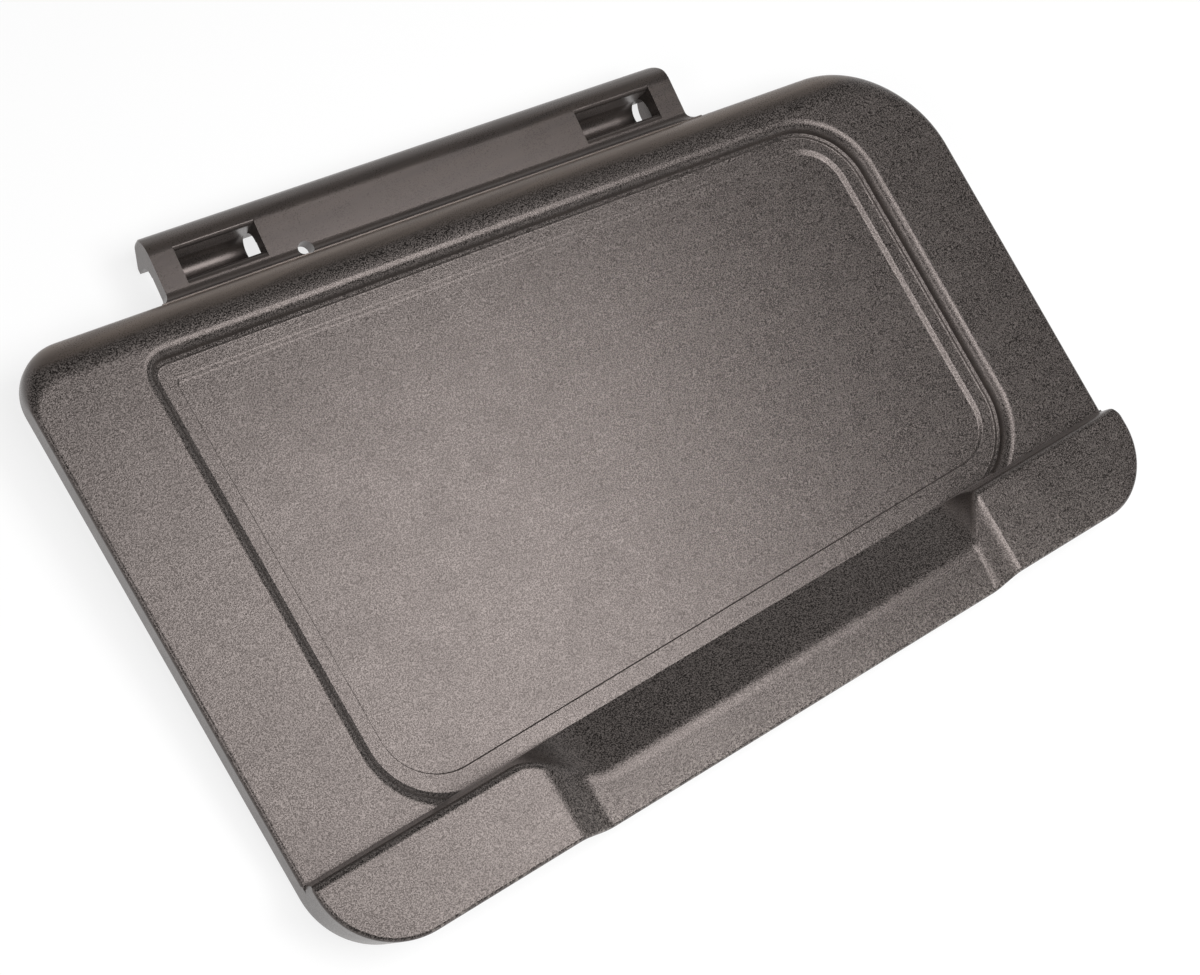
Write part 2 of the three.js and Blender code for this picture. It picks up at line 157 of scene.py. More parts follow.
def evenly(amount, lower=None):
    """Growth of the four sides, in the order foot, right, top, left."""
    return [amount if lower is None else lower, amount, amount, amount]


print("a round corner takes", CORNER_STEPS + 1, "points")

# %% [markdown]
# ## Skins and mould tools
# A body is a stack of rings with the same number of points. Neighbouring rings are skinned with
# four-sided faces and the two ends are closed, which gives clean strips along every radius.
# Bodies are then joined or cut with the Boolean modifier. Its Manifold solver is quick and keeps
# each body closed, where dissolving and bridging by hand would leave gaps at the corners.

# %% Skin rings into a body, and use one body on another
def skin(name, rings):
    """A closed mesh object through rings that run anticlockwise seen from the last one."""
    count = len(rings[0])
    corners = [Vector(point) for ring in rings for point in ring]
    faces = [tuple(reversed(range(count)))]
    for level in range(len(rings) - 1):
        start = level * count
        for i in range(count):
            a = start + i
            b = start + (i + 1) % count
            faces.append((a, b, b + count, a + count))
    last = (len(rings) - 1) * count
    faces.append(tuple(range(last, last + count)))
    mesh = bpy.data.meshes.new(name)
    mesh.from_pydata(corners, [], faces)
    body = bpy.data.objects.new(name, mesh)
    bpy.context.collection.objects.link(body)
    return body


def work(body, tool, operation):
    """Joins, cuts or trims the body with the tool, which is used up."""
    step = body.modifiers.new("tool", "BOOLEAN")
    step.object = tool
    step.operation = operation
    step.solver = "MANIFOLD"
    seen = body.evaluated_get(bpy.context.evaluated_depsgraph_get())
    shaped = bpy.data.meshes.new_from_object(seen)
    body.modifiers.clear()
    old = body.data
    body.data = shaped
    bpy.data.meshes.remove(old)
    bpy.data.meshes.remove(tool.data)
    return body


def join(body, tool):
    return work(body, tool, "UNION")


def cut(body, tool):
    return work(body, tool, "DIFFERENCE")


def trim(body, tool):
    return work(body, tool, "INTERSECT")


print("bodies can be joined, cut and trimmed")

# %% [markdown]
# ## The plate
# The plate is the border that runs round the field, and every other form sits on it. Its four
# sides and the crease, where the lip starts, are each a straight line with its own slope. They
# could be traced from the photograph as points, but then no side could move by itself.

# %% The plate's sizes and its straight sides
WIDTH = 291
LEFT_HEIGHT = 179
HINGE_SLOPE = math.radians(5.5)
FOOT_LEFT = -1
FOOT_SLOPE = math.radians(1.45)
CREASE_LEFT = 25.3
CREASE_SLOPE = math.radians(0.95)
BORDER_FACE = 8
CORNER_RADII = [21, 35, 14, 24]
SEAM = 0.4

FOOT = side(-math.pi / 2 - FOOT_SLOPE, 0, FOOT_LEFT)
RIGHT = side(0, WIDTH, 0)
TOP = side(math.pi / 2 - HINGE_SLOPE, 0, LEFT_HEIGHT)
LEFT = side(math.pi, 0, 0)
CREASE = side(-math.pi / 2 - CREASE_SLOPE, 0, CREASE_LEFT)
print("the plate is", WIDTH, "mm wide and", LEFT_HEIGHT, "mm high at its left side")

# %% [markdown]
# ## Its rolled edges
# The border stands 8 mm above the rim. Its side edges have a small radius and its upper edge,
# over the hinge, a large one. A Bevel modifier would give every edge one width, so the rings take
# one inset for the sides and another for the top. They are spaced by even angles of the round,
# not by even heights, because a round turns fastest where it meets the face.

# %% Skin the plate with its rolled edges
EDGE_ROLL = 1.4
TOP_ROLL = 6
TOP_RUN = 11.5
ROLL_STEPS = 10
TOP_ROLL_STEPS = 30


def roll_inset(radius, face, z):
    """How far a rolled edge has turned in at a height: a quarter round, level with the face."""
    rise = z - (face - radius)
    return 0 if rise <= 0 else radius - math.sqrt(max(0, radius * radius - rise * rise))


def quarter(k, steps=ROLL_STEPS):
    """Sine and cosine of a share of a quarter turn."""
    angle = math.pi / 2 * k / steps
    return math.sin(angle), math.cos(angle)


def roll_levels(radius, face, steps=ROLL_STEPS):
    """The levels of a rolled edge's rings, from its start up to the face."""
    return [face - radius + radius * quarter(k, steps)[0] for k in range(steps + 1)]


def make_plate():
    """The upper roll is a quarter of an ellipse, so it runs further along the face than down."""
    sides = [CREASE, RIGHT, TOP, LEFT]
    radii = [0, CORNER_RADII[1], CORNER_RADII[2], 0]
    top_levels = roll_levels(TOP_ROLL, BORDER_FACE, TOP_ROLL_STEPS)[:-1]
    rings = []
    for z in sorted({0, *top_levels, *roll_levels(EDGE_ROLL, BORDER_FACE)}):
        edge = -roll_inset(EDGE_ROLL, BORDER_FACE, z)
        top = -roll_inset(TOP_ROLL, BORDER_FACE, z) * TOP_RUN / TOP_ROLL
        rings.append(at_height(outline(sides, radii, [SEAM, edge, top, edge]), z))
    return skin("plate", rings)


plate = make_plate()
print("plate:", len(plate.data.polygons), "faces")

# %% [markdown]
# ## The sunk field
# A draft angle lets the moulding leave its tool, so the wall of the recess leans out, with a
# small radius at its foot and a generous one where it meets the border. Those two radii make the
# pair of bright and dark lines round the field. Pushing the face down with an Inset and a Bevel
# would tie all four sides together, so a tool of the recess's own shape is cut out instead. It
# runs on past the crease, where the lip will cover it.

# %% Cut the recess
RECESS_FLOOR = 3.5
RECESS_DRAFT = 0.8
RECESS_ROLL = 3.5
RECESS_FOOT_ROLL = 0.6
BORDER_LEFT = 34
BORDER_RIGHT = 32
BORDER_TOP = 15.2
RECESS_RADII = [22, 21, 3.5, 22]
PROUD = 1
EAR_FACE = 15.9

RECESS_SIDES = [
    CREASE,
    side(0, WIDTH - BORDER_RIGHT, 0),
    side(TOP[0], 0, LEFT_HEIGHT - BORDER_TOP / math.cos(HINGE_SLOPE)),
    side(math.pi, BORDER_LEFT, 0),
]


def recess_ring(grow, z):
    """The recess's outline at a level, with its foot well under the lip."""
    return at_height(outline(RECESS_SIDES, RECESS_RADII, evenly(grow, grow + PROUD)), z)


def make_recess_tool():
    """From the floor up: the foot's radius, the leaning wall and the radius at the border."""
    rings = []
    for k in range(ROLL_STEPS + 1):
        sine, cosine = quarter(k)
        grow = -RECESS_FOOT_ROLL * (1 - sine)
        rings.append(recess_ring(grow, RECESS_FLOOR + RECESS_FOOT_ROLL * (1 - cosine)))
    for k in range(ROLL_STEPS + 1):
        sine, cosine = quarter(k)
        grow = RECESS_DRAFT + RECESS_ROLL * (1 - cosine)
        rings.append(recess_ring(grow, BORDER_FACE - RECESS_ROLL * (1 - sine)))
    rings.append(recess_ring(RECESS_DRAFT + RECESS_ROLL, EAR_FACE + PROUD))
    return skin("recess tool", rings)


cut(plate, make_recess_tool())
print("plate with its recess:", len(plate.data.polygons), "faces")

# %% [markdown]
# ## The step of the field
# Inside a narrow band the field steps down once more, by little more than half a millimetre. At
# the foot and left the step is a thin dark line, and at the right and top a soft slope that
# catches the light. A bump map could fake the line but not the slope's highlight, so it is cut.

# %% Cut the step of the field
BAND = 4.2
FIELD_FOOT = 29.4
FIELD_SLOPE = math.radians(0.33)
FIELD_RADII = [14, 15, 2, 17.5]
STEP_DEPTH = 0.6
STEP_RUN = 1.9
STEP_SHORT = 0.35
STEP_LEVELS = 8
STEP_EASE = 0.5

FIELD_SIDES = [side(-math.pi / 2 - FIELD_SLOPE, 0, FIELD_FOOT)]
FIELD_SIDES += [(angle, reach - BAND) for angle, reach in RECESS_SIDES[1:]]


def mix(a, b, share):
    """The value that lies so far on the way from a to b."""
    return a + (b - a) * share


def ease(x, start, end):
    """A smooth change from 0 at the start to 1 at the end."""
    share = min(1, max(0, (x - start) / (end - start)))
    return share * share * (3 - 2 * share)


def make_field_tool():
    """The step is short at the foot and left, and a soft slope at the right and top."""
    rings = []
    for level in range(STEP_LEVELS + 1):
        share = level / STEP_LEVELS
        short = -STEP_SHORT * (1 - share)
        soft = -STEP_RUN * (1 - share)
        z = RECESS_FLOOR - STEP_DEPTH * (1 - mix(share, ease(share, 0, 1), STEP_EASE))
        rings.append(at_height(outline(FIELD_SIDES, FIELD_RADII, [short, soft, soft, short]), z))
    rings.append(at_height(outline(FIELD_SIDES, FIELD_RADII, evenly(0)), RECESS_FLOOR + PROUD))
    return skin("field tool", rings)


cut(plate, make_field_tool())
print("plate with its field:", len(plate.data.polygons), "faces")

# %% [markdown]
# ## The scooped lip
# Along the foot the face rises to a lip. At both ends it is a flat-topped ear with a steep inner
# wall. In the middle that wall lies down into a long ramp for the fingers, and the top is lower
# and falls towards the free edge. Three separate bodies would need two awkward joints. One
# section drawn across the lip, with its sizes changing along the foot, makes the whole sweep, and
# the soft S between ear and scoop comes by itself. First come the sizes and how they change.

# %% How the lip changes along the foot
EAR_DRAFT = 0.8
SCOOP_FACE = 12.6
SCOOP_RUN = 15.5
SCOOP_FALL = 1.6
SCOOP_BULGE = 1.85
SCOOP_START = 68
SCOOP_SIDE = 13
SWEEP_START = 62
SCOOP_SWEEP = 26
SCOOP_STOP = 231
SCOOP_STOP_RUN = 9


def closing(x):
    """1 along the scoop, and 0 past its steep right end."""
    return 1 - ease(x, SCOOP_STOP - SCOOP_STOP_RUN, SCOOP_STOP)


def scoop_height(x):
    """How far the top has come down from the ears, from 0 to 1."""
    return ease(x, SCOOP_START, SCOOP_START + SCOOP_SIDE) * closing(x)


def scoop_sweep(x):
    """How far the inner wall has lain down into the ramp, from 0 to 1."""
    return ease(x, SWEEP_START, SWEEP_START + SCOOP_SWEEP) * closing(x)


def crease_at(x):
    """Where the lip starts."""
    return CREASE_LEFT - x * math.tan(CREASE_SLOPE)


def foot_at(x):
    """Where the lip ends. The scoop bulges a little past the ears."""
    return FOOT_LEFT - x * math.tan(FOOT_SLOPE) - SCOOP_BULGE * scoop_height(x)


def lip_length(x):
    return crease_at(x) - foot_at(x)


def lip_run(x):
    """How far the inner wall runs before it reaches the top."""
    return mix(EAR_DRAFT, SCOOP_RUN, scoop_sweep(x))


def lip_crest(x):
    """The height at the inner end of the top."""
    return mix(EAR_FACE, SCOOP_FACE, scoop_height(x))


def lip_fall(x):
    """The slope at which the top falls towards the free edge."""
    return SCOOP_FALL * scoop_height(x) / (lip_length(x) - lip_run(x))


print("the lip is", round(lip_length(0), 1), "mm wide at its left end")
print("and", round(lip_length(WIDTH), 1), "mm at its right end")

# %% [markdown]
# ## Its sections
# Each section is an outline like the others, only stood upright across the lip: underside, free
# edge, top, inner wall and crease. Sections stand close together where the lip changes, and none
# is needed along an ear or the even middle, since straight faces span those in one go.

# %% Draw the lip's sections
EAR_ROLL = 2.4
SCOOP_ROLL = 9
STATION_GAP = 1.2
THROUGH = 40


def lip_section(x, inset):
    """The lip's section at one place along the foot, from the crease to past the free edge."""
    start = mix(BORDER_FACE, RECESS_FLOOR, scoop_sweep(x))
    ramp = math.atan2(lip_run(x), lip_crest(x) - start)
    sides = [
        side(-math.pi / 2, 0, 0),
        side(0, lip_length(x) + PROUD, 0),
        side(math.pi / 2 - math.atan(lip_fall(x)), lip_run(x), lip_crest(x)),
        side(math.pi - ramp, 0, start),
        side(math.pi, 0, 0),
    ]
    shoulder = mix(EAR_ROLL, SCOOP_ROLL, scoop_sweep(x))
    grow = [THROUGH if inset else 0, -inset, -inset, -inset, -inset]
    section = outline(sides, [0, 0, shoulder, 0, 0], grow, ROLL_STEPS)
    return [(x, crease_at(x) - across, up) for across, up in reversed(section)]


def stations(start, end):
    """Places along the foot, close together where the section changes."""
    count = math.ceil((end - start) / STATION_GAP)
    return [mix(start, end, k / count) for k in range(count + 1)]


SCOOP_STATIONS = stations(SWEEP_START, SWEEP_START + SCOOP_SWEEP)
SCOOP_STATIONS += stations(SCOOP_STOP - SCOOP_STOP_RUN, SCOOP_STOP)
LIP_STATIONS = [-PROUD, *SCOOP_STATIONS, WIDTH + PROUD]

lip = skin("lip", [lip_section(x, 0) for x in LIP_STATIONS])
print("lip:", len(LIP_STATIONS), "sections")

# %% [markdown]
# ## Its plan
# The ears have round corners in plan and the free edge is rolled, along a top that dips at the
# scoop. Rounding the sections themselves would squeeze them together at the corners. So the lip
# is pulled past its ends and then trimmed by a tool of the plan. The tool's roll ends a hair
# above the ears, so that no two faces lie in one plane, which a Boolean handles badly.

# %% Trim the lip to its plan
EAR_RADII = [21, 5, 2.5, 24]
LIFT = 0.03

EAR_TOP = side(math.pi / 2 - CREASE_SLOPE, 0, CREASE_LEFT + SEAM)


def make_plan(inset, start, roll):
    """The plan as a tool: of the plate up to its face, and above that of the lip alone.

    Its rolled free edge follows the lip's top down and up again.
    """
    def ring(above, shift, z, drop):
        sides = [FOOT, RIGHT, EAR_TOP if above else TOP, LEFT]
        radii = EAR_RADII if above else CORNER_RADII
        points = at_height(outline(sides, radii, evenly(-shift)), z)
        for x in SCOOP_STATIONS:
            face = lip_crest(x) - lip_fall(x) * (lip_length(x) - roll - lip_run(x))
            points.append((x, foot_at(x) + shift, z - drop * (EAR_FACE - face)))
        return points

    top = EAR_FACE + LIFT
    rings = [ring(False, inset, start, 0), ring(False, inset, BORDER_FACE, 0)]
    rings.append(ring(True, inset, BORDER_FACE, 0))
    for z in roll_levels(roll, top):
        rings.append(ring(True, inset + roll_inset(roll, top, z), z, 1))
    rings.append(ring(True, inset + roll, top + PROUD, 0))
    return skin("plan tool", rings)


trim(lip, make_plan(0, 0, EDGE_ROLL))
print("trimmed lip:", len(lip.data.polygons), "faces")

# %% [markdown]
# ## The hollow back
# The part is a shell about 3 mm thick, open at the back. A Solidify modifier would thicken the
# face, but it tears at tight radii. Here the hollow is the same set of rings and sections moved
# in by the wall, so the inside follows the outside, as a mould's core follows its cavity. The
# tray of the sunk field stands in the hollow and ends level with the rim.

# %% Join the lip to the plate and hollow both
WALL = 3


def make_room_tool():
    """The room behind the border, whose walls lean in just under the ceiling."""
    radii = [0, CORNER_RADII[1], CORNER_RADII[2], 0]
    ceiling = BORDER_FACE - WALL
    levels = [(WALL, -THROUGH), (WALL, ceiling - PROUD), (WALL + PROUD, ceiling)]
    return skin("room tool", [
        at_height(outline([CREASE, RIGHT, TOP, LEFT], radii, evenly(-inset, WALL + PROUD)), z)
        for inset, z in levels
    ])


def make_tray():
    """What the room leaves standing: the sunk field's floor and walls."""
    levels = [RECESS_FLOOR - STEP_DEPTH - WALL, BORDER_FACE + PROUD]
    return skin("tray", [
        at_height(outline(RECESS_SIDES, RECESS_RADII, evenly(WALL, 2 * WALL)), z) for z in levels
    ])


join(plate, lip)
cut(plate, cut(make_room_tool(), make_tray()))
lip_room = skin("lip room", [lip_section(x, WALL) for x in LIP_STATIONS])
cut(plate, trim(lip_room, make_plan(WALL, -THROUGH, SEAM)))
print("shell:", len(plate.data.polygons), "faces")

# %% [markdown]
# ## The hinge strip
# The strip leaves the upper edge at a slant and lies behind the face. Seen from its end it is a
# hook: a flat web, a rolled top and a short tip behind. The rod's channel opens to the back,
# except at two windows, where a saddle closes the back and the channel opens to the face. That
# lets a plain two-part mould form it. The strip has one profile nearly all along, so it is drawn
# once, outwards from the upper edge, and pulled along that edge.

# %% Pull the strip along the upper edge
HINGE_START = 48.8
HINGE_LENGTH = 170
WEB_FACE = 0.5
WEB_BACK = -4.5
HOOK_HEIGHT = 20.8
HOOK_ROLL = 7
HOOK_DEPTH = 13.4
HOOK_TIP = 1.6
ROD_OUT = 9.4
CHANNEL_RADIUS = 4
FOOT_FILLET = 3
ROOT_DEPTH = 2.6

ALONG = Vector((math.cos(HINGE_SLOPE), -math.sin(HINGE_SLOPE), 0))
OUT = Vector((math.sin(HINGE_SLOPE), math.cos(HINGE_SLOPE), 0))
HINGE_FOOT = Vector((0, LEFT_HEIGHT, 0))


def arc(x, y, radius, start, end, steps=ROLL_STEPS):
    """Points on an arc. Angles are in quarter turns."""
    turns = [math.pi / 2 * mix(start, end, k / steps) for k in range(steps + 1)]
    return [(x + radius * math.cos(turn), y + radius * math.sin(turn)) for turn in turns]


def pull(name, profile, start, length):
    """A profile of (out, up) points, anticlockwise, pulled along the hinge."""
    def ring(along):
        return [HINGE_FOOT + OUT * out + ALONG * along + Vector((0, 0, up)) for out, up in profile]

    return skin(name, [ring(start), ring(start + length)])


def hook_profile():
    """The strip from its end: web, tip, rolled top, and the fillet at the upper roll."""
    tip = WEB_FACE - HOOK_DEPTH
    return [
        (-ROOT_DEPTH, WEB_BACK),
        (ROD_OUT, WEB_BACK),
        (ROD_OUT, tip),
        (ROD_OUT + CHANNEL_RADIUS + HOOK_TIP, tip),
        *arc(HOOK_HEIGHT - HOOK_ROLL, WEB_FACE - HOOK_ROLL, HOOK_ROLL, 0, 1),
        *arc(FOOT_FILLET, WEB_FACE + FOOT_FILLET, FOOT_FILLET, -1, -2),
        (-ROOT_DEPTH, WEB_FACE + FOOT_FILLET),
    ]


strip_start = HINGE_START - FOOT_FILLET - PROUD
strip_length = HINGE_LENGTH + 2 * (FOOT_FILLET + PROUD)
strip = pull("strip", hook_profile(), strip_start, strip_length)
print("strip:", len(strip.data.polygons), "faces")

# %% [markdown]
# ## The strip's ends
# In plan the strip's ends flare where they meet the upper edge, and its outer corners are round,
# the right one more than the left. This outline isn't convex, so it is written out as a path of
# lines and arcs and used to trim the pulled hook.

# %% Trim the strip's ends
HINGE_CORNER_LEFT = 1.5
HINGE_CORNER_RIGHT = 4


def plan_path():
    """The strip's plan as (along, out) points."""
    end = HINGE_LENGTH
    top = HOOK_HEIGHT + PROUD
    right = HINGE_CORNER_RIGHT
    left = HINGE_CORNER_LEFT
    return [
        (-FOOT_FILLET, -ROOT_DEPTH - PROUD),
        (end + FOOT_FILLET, -ROOT_DEPTH - PROUD),
        *arc(end + FOOT_FILLET, FOOT_FILLET, FOOT_FILLET, -1, -2),
        *arc(end - right, top - PROUD - right, right, 0, 1),
        (end - right, top),
        (left, top),
        *arc(left, top - PROUD - left, left, 1, 2),
        *arc(-FOOT_FILLET, FOOT_FILLET, FOOT_FILLET, 0, -1),
    ]


def make_strip_plan():
    def ring(z):
        return [
            HINGE_FOOT + ALONG * (HINGE_START + along) + OUT * out + Vector((0, 0, z))
            for along, out in plan_path()
        ]

    return skin("strip plan", [ring(-THROUGH), ring(THROUGH)])


trim(strip, make_strip_plan())
print("trimmed strip:", len(strip.data.polygons), "faces")

# %% [markdown]
# ## Channel, windows and spring hole
# The rod slides in from the left, shows in both windows and ends at a wall on the right. One
# straight bore would be simpler to draw, but no two-part mould could form it. So the channel is
# cut from the back all along. Then the right end and both windows get a saddle behind, and each
# window is cut from the face. A small gap is left at a saddle's ends, where the halves of the
# mould shut off against each other. The end of the hinge's spring sits in a small hole.

# %% Cut the channel and make the windows
ROD_Z = -8.8
SADDLE_RADIUS = 6.8
STOP_WALL = 5
STOP_SET_BACK = 0.5
WINDOW_LENGTHS = [24, 26.5]
WINDOW_MARGINS = [7, 8]
WINDOW_ROLL_UPPER = 1.4
WINDOW_ROLL_LOWER = 2
WINDOW_GAP = 0.8
SHUT_OFF = 0.2
SPRING_HOLE = 4.5
SPRING_HOLE_ALONG = 41.5
SPRING_HOLE_OUT = 2


def channel_profile():
    """The rod's room, open to the back."""
    return [
        (ROD_OUT + CHANNEL_RADIUS, ROD_Z - THROUGH),
        *arc(ROD_OUT, ROD_Z, CHANNEL_RADIUS, 0, 2, 2 * ROLL_STEPS),
        (ROD_OUT - CHANNEL_RADIUS, ROD_Z - THROUGH),
    ]


def saddle_profile():
    """The round back that holds the rod at a window."""
    buried = WEB_BACK + PROUD
    return [
        (ROD_OUT - SADDLE_RADIUS, buried),
        *arc(ROD_OUT, ROD_Z, SADDLE_RADIUS, 2, 4, 2 * ROLL_STEPS),
        (ROD_OUT + SADDLE_RADIUS, buried),
    ]


def window_profile():
    """The channel open to the face, with its upper and lower edges rolled."""
    above = ROD_OUT + CHANNEL_RADIUS + WINDOW_ROLL_UPPER
    below = ROD_OUT - CHANNEL_RADIUS - WINDOW_ROLL_LOWER
    return [
        *arc(ROD_OUT, ROD_Z, CHANNEL_RADIUS, 2, 4, 2 * ROLL_STEPS),
        *arc(above, WEB_FACE - WINDOW_ROLL_UPPER, WINDOW_ROLL_UPPER, 2, 1),
        (above, THROUGH),
        (below, THROUGH),
        *arc(below, WEB_FACE - WINDOW_ROLL_LOWER, WINDOW_ROLL_LOWER, 1, 0),
    ]


def make_spring_hole():
    centre = HINGE_FOOT + ALONG * (HINGE_START + SPRING_HOLE_ALONG) + OUT * SPRING_HOLE_OUT
    circle = arc(centre.x, centre.y, SPRING_HOLE / 2, 0, 4, 4 * ROLL_STEPS)[:-1]
    return skin("spring hole", [at_height(circle, -THROUGH), at_height(circle, THROUGH)])


hinge_end = HINGE_START + HINGE_LENGTH
channel_length = hinge_end - strip_start - STOP_WALL / 2
cut(strip, pull("channel", channel_profile(), strip_start, channel_length))
join(strip, pull("stop", saddle_profile(), hinge_end - STOP_WALL, STOP_WALL - STOP_SET_BACK))
left_window = HINGE_START + WINDOW_MARGINS[0]
right_window = hinge_end - WINDOW_MARGINS[1] - WINDOW_LENGTHS[1]
for start, length in zip([left_window, right_window], WINDOW_LENGTHS):
    join(strip, pull("saddle", saddle_profile(), start + SHUT_OFF, length - SHUT_OFF - WINDOW_GAP))
    cut(strip, pull("window", window_profile(), start, length))
cut(strip, make_spring_hole())
print("finished strip:", len(strip.data.polygons), "faces")

# %% [markdown]
# ## One moulding
# The strip is joined to the shell, and the whole is laid on the ground. Curved strips of faces
# should shade as one, and a wall's edge should stay crisp, so edges that turn sharply are marked
# and the normals are weighted by face size, which keeps the large flat faces flat.

# %% Finish the mesh of the flap
SHARP_TURN = math.radians(32)

flap = join(plate, strip)
flap.name = "flap"
flap.data.name = "flap"
flap.data.transform(lay)
flap.data.shade_smooth()
flap.data.set_sharp_from_angle(angle=SHARP_TURN)
weights = flap.modifiers.new("weighted normals", "WEIGHTED_NORMAL")
weights.keep_sharp = True
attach(flap, "root")
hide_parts("deflector")
print("flap:", len(flap.data.vertices), "points,", len(flap.data.polygons), "faces")

# %% [markdown]
# ## Where the mould was blasted, where light is painted and where the edge is rubbed
# On the real part the flat faces carry a fine sandblasted grain, while the radii, the walls and
# the hinge strip came from smooth steel. Two materials would meet in a hard line. So each face
# of the mesh keeps a number that says how far it is blasted, worked out from its place and its
# slope, and the finish fades from one to the other as it does round a real radius. Each point
# keeps two more: how far a painted reflection lies low on the upper roll, and how far the crest
# of the free edge carries rub marks and a painted highlight.

# %% Mark what is blasted, the painted reflection on the upper roll, and the edge's rub and highlight
BLAST_SLOPE_FULL = 0.8
BLAST_SLOPE_NONE = 0.3
BLAST_FADE = 4
# How far the painted reflection on the upper roll runs in, and how far it keeps clear of the web.
ROLL_REFLECTION_RUN = 7
ROLL_REFLECTION_CLEAR = 0.5
# How wide and deep the rub marks and painted highlight on the free edge reach.
RUB_HIGHLIGHT_WIDTH = 1.6
RUB_HIGHLIGHT_DEPTH = 1.2


def inside_top(place):
    """How far a place lies inside the upper side of the plate."""
    return TOP[1] - math.cos(TOP[0]) * place.x - math.sin(TOP[0]) * place.y


def blast_share(place, slope):
    """1 on the open faces of the shell, fading to 0 on its walls, its upper roll and the hinge."""
    clear_of_roll = ease(inside_top(place), BLAST_FADE, 2 * BLAST_FADE)
    return clear_of_roll * ease(slope, BLAST_SLOPE_NONE, BLAST_SLOPE_FULL)


def roll_reflection_share(place):
    """1 low on the upper roll, where a painted reflection goes, and 0 away from it."""
    inside = inside_top(place)
    if inside <= 0:
        return 0
    clear_of_web = ease(place.z - WEB_FACE, ROLL_REFLECTION_CLEAR, 2 * ROLL_REFLECTION_CLEAR)
    return clear_of_web * (1 - ease(inside, 0, ROLL_REFLECTION_RUN))


def rub_and_highlight_share(place):
    """1 on the crest of the free edge, which gets rub marks and a painted highlight, and 0 away
    from it.
    """
    x = place.x
    across = place.y - foot_at(x)
    below = lip_crest(x) - lip_fall(x) * (lip_length(x) - lip_run(x)) - place.z
    return (1 - ease(across, 0, RUB_HIGHLIGHT_WIDTH)) * (1 - ease(below, 0, RUB_HIGHLIGHT_DEPTH))


def mark_finish(mesh):
    """Keeps the three shares as attributes of the mesh, and gives the share of it blasted."""
    to_drawing = lay.inverted()
    blasted = mesh.attributes.new("blasted", "FLOAT", "FACE")
    # The share of the painted reflection low on the upper roll.
    roll_reflection_paint = mesh.attributes.new("roll_reflection_paint", "FLOAT", "POINT")
    # The share of rub marks and painted highlight on the crest of the free edge.
    rub_and_highlight = mesh.attributes.new("rub_and_highlight", "FLOAT", "POINT")
    for face in mesh.polygons:
        share = blast_share(to_drawing @ face.center, face.normal.dot(face_up))
        blasted.data[face.index].value = share
    for point in mesh.vertices:
        place = to_drawing @ point.co
        roll_reflection_paint.data[point.index].value = roll_reflection_share(place)
        rub_and_highlight.data[point.index].value = rub_and_highlight_share(place)
    areas = [face.area * blasted.data[face.index].value for face in mesh.polygons]
    return sum(areas) / sum(face.area for face in mesh.polygons)


print("share of the surface that is blasted:", round(mark_finish(flap.data), 2))

# %% [markdown]
# ## Working with nodes
# A material is a tree of nodes. Placing them by mouse is quick for one, but this plastic takes a
# few dozen, and most of them do one of four jobs: make noise, add or multiply, move a range, or
# mix two colours. A helper for each job lets the finish be read as a few plain lines.

# %% Small helpers for node trees
def add_node(tree, kind, **settings):
    """Adds a node and sets its properties and inputs by name."""
    node = tree.nodes.new(kind)
    for key, value in settings.items():
        if hasattr(node, key):
            setattr(node, key, value)
        else:
            node.inputs[key.replace("_", " ").title()].default_value = value
    return node


def noise(tree, vector, scale, detail, roughness=0.5):
    """Soft noise from 0 to 1 at a place, with so many spots to the metre."""
    node = add_node(tree, "ShaderNodeTexNoise", scale=scale, detail=detail, roughness=roughness)
    tree.links.new(vector, node.inputs["Vector"])
    return node.outputs["Fac"]


def math_node(tree, operation, first, second):
    """The sum, the product or the larger of two sockets or numbers."""
    node = add_node(tree, "ShaderNodeMath", operation=operation)
    for slot, value in enumerate((first, second)):
        if isinstance(value, bpy.types.NodeSocket):
            tree.links.new(value, node.inputs[slot])
        else:
            node.inputs[slot].default_value = value
    return node.outputs[0]


def spread(tree, value, start, end, to_start, to_end):
    """Maps a value's range to another, and clamps it there."""
    node = add_node(tree, "ShaderNodeMapRange")
    tree.links.new(value, node.inputs["Value"])
    ends = {"From Min": start, "From Max": end, "To Min": to_start, "To Max": to_end}
    for name, number in ends.items():
        node.inputs[name].default_value = number
    return node.outputs["Result"]


def blend(tree, share, first, second):
    """Mixes two colours, each a socket or a tuple."""
    node = add_node(tree, "ShaderNodeMix", data_type="RGBA")
    tree.links.new(share, node.inputs["Factor"])
    for name, colour in (("A", first), ("B", second)):
        socket = next(s for s in node.inputs if s.name == name and s.type == "RGBA")
        if isinstance(colour, bpy.types.NodeSocket):
            tree.links.new(colour, socket)
        else:
            socket.default_value = (*colour, 1)
    return next(s for s in node.outputs if s.type == "RGBA")


print("helpers: node, noise, math, spread and blend")

# %% [markdown]
# ## The textures of the plastic
# The flap is warm dark grey polypropylene with a low sheen. Close up it shows four things: the
# blasted grain of a few tenths of a millimetre, larger pits in it, a slow mottle where the melt
# met the steel, and faint flow streaks along the hinge. Photographed textures would show their
# edges and repeat. Noise in the object's own space does neither, and it stays on the part.

# %% Lay out the textures
GRAIN_SCALE = 2700
GRAIN_ROUGHNESS = 0.6
PIT_SCALE = 1300
MOTTLE_SCALE = 90
STREAK_SCALE = 420
STREAK_STRETCH = 0.05
FINE_DETAIL = 2
MOTTLE_DETAIL = 3


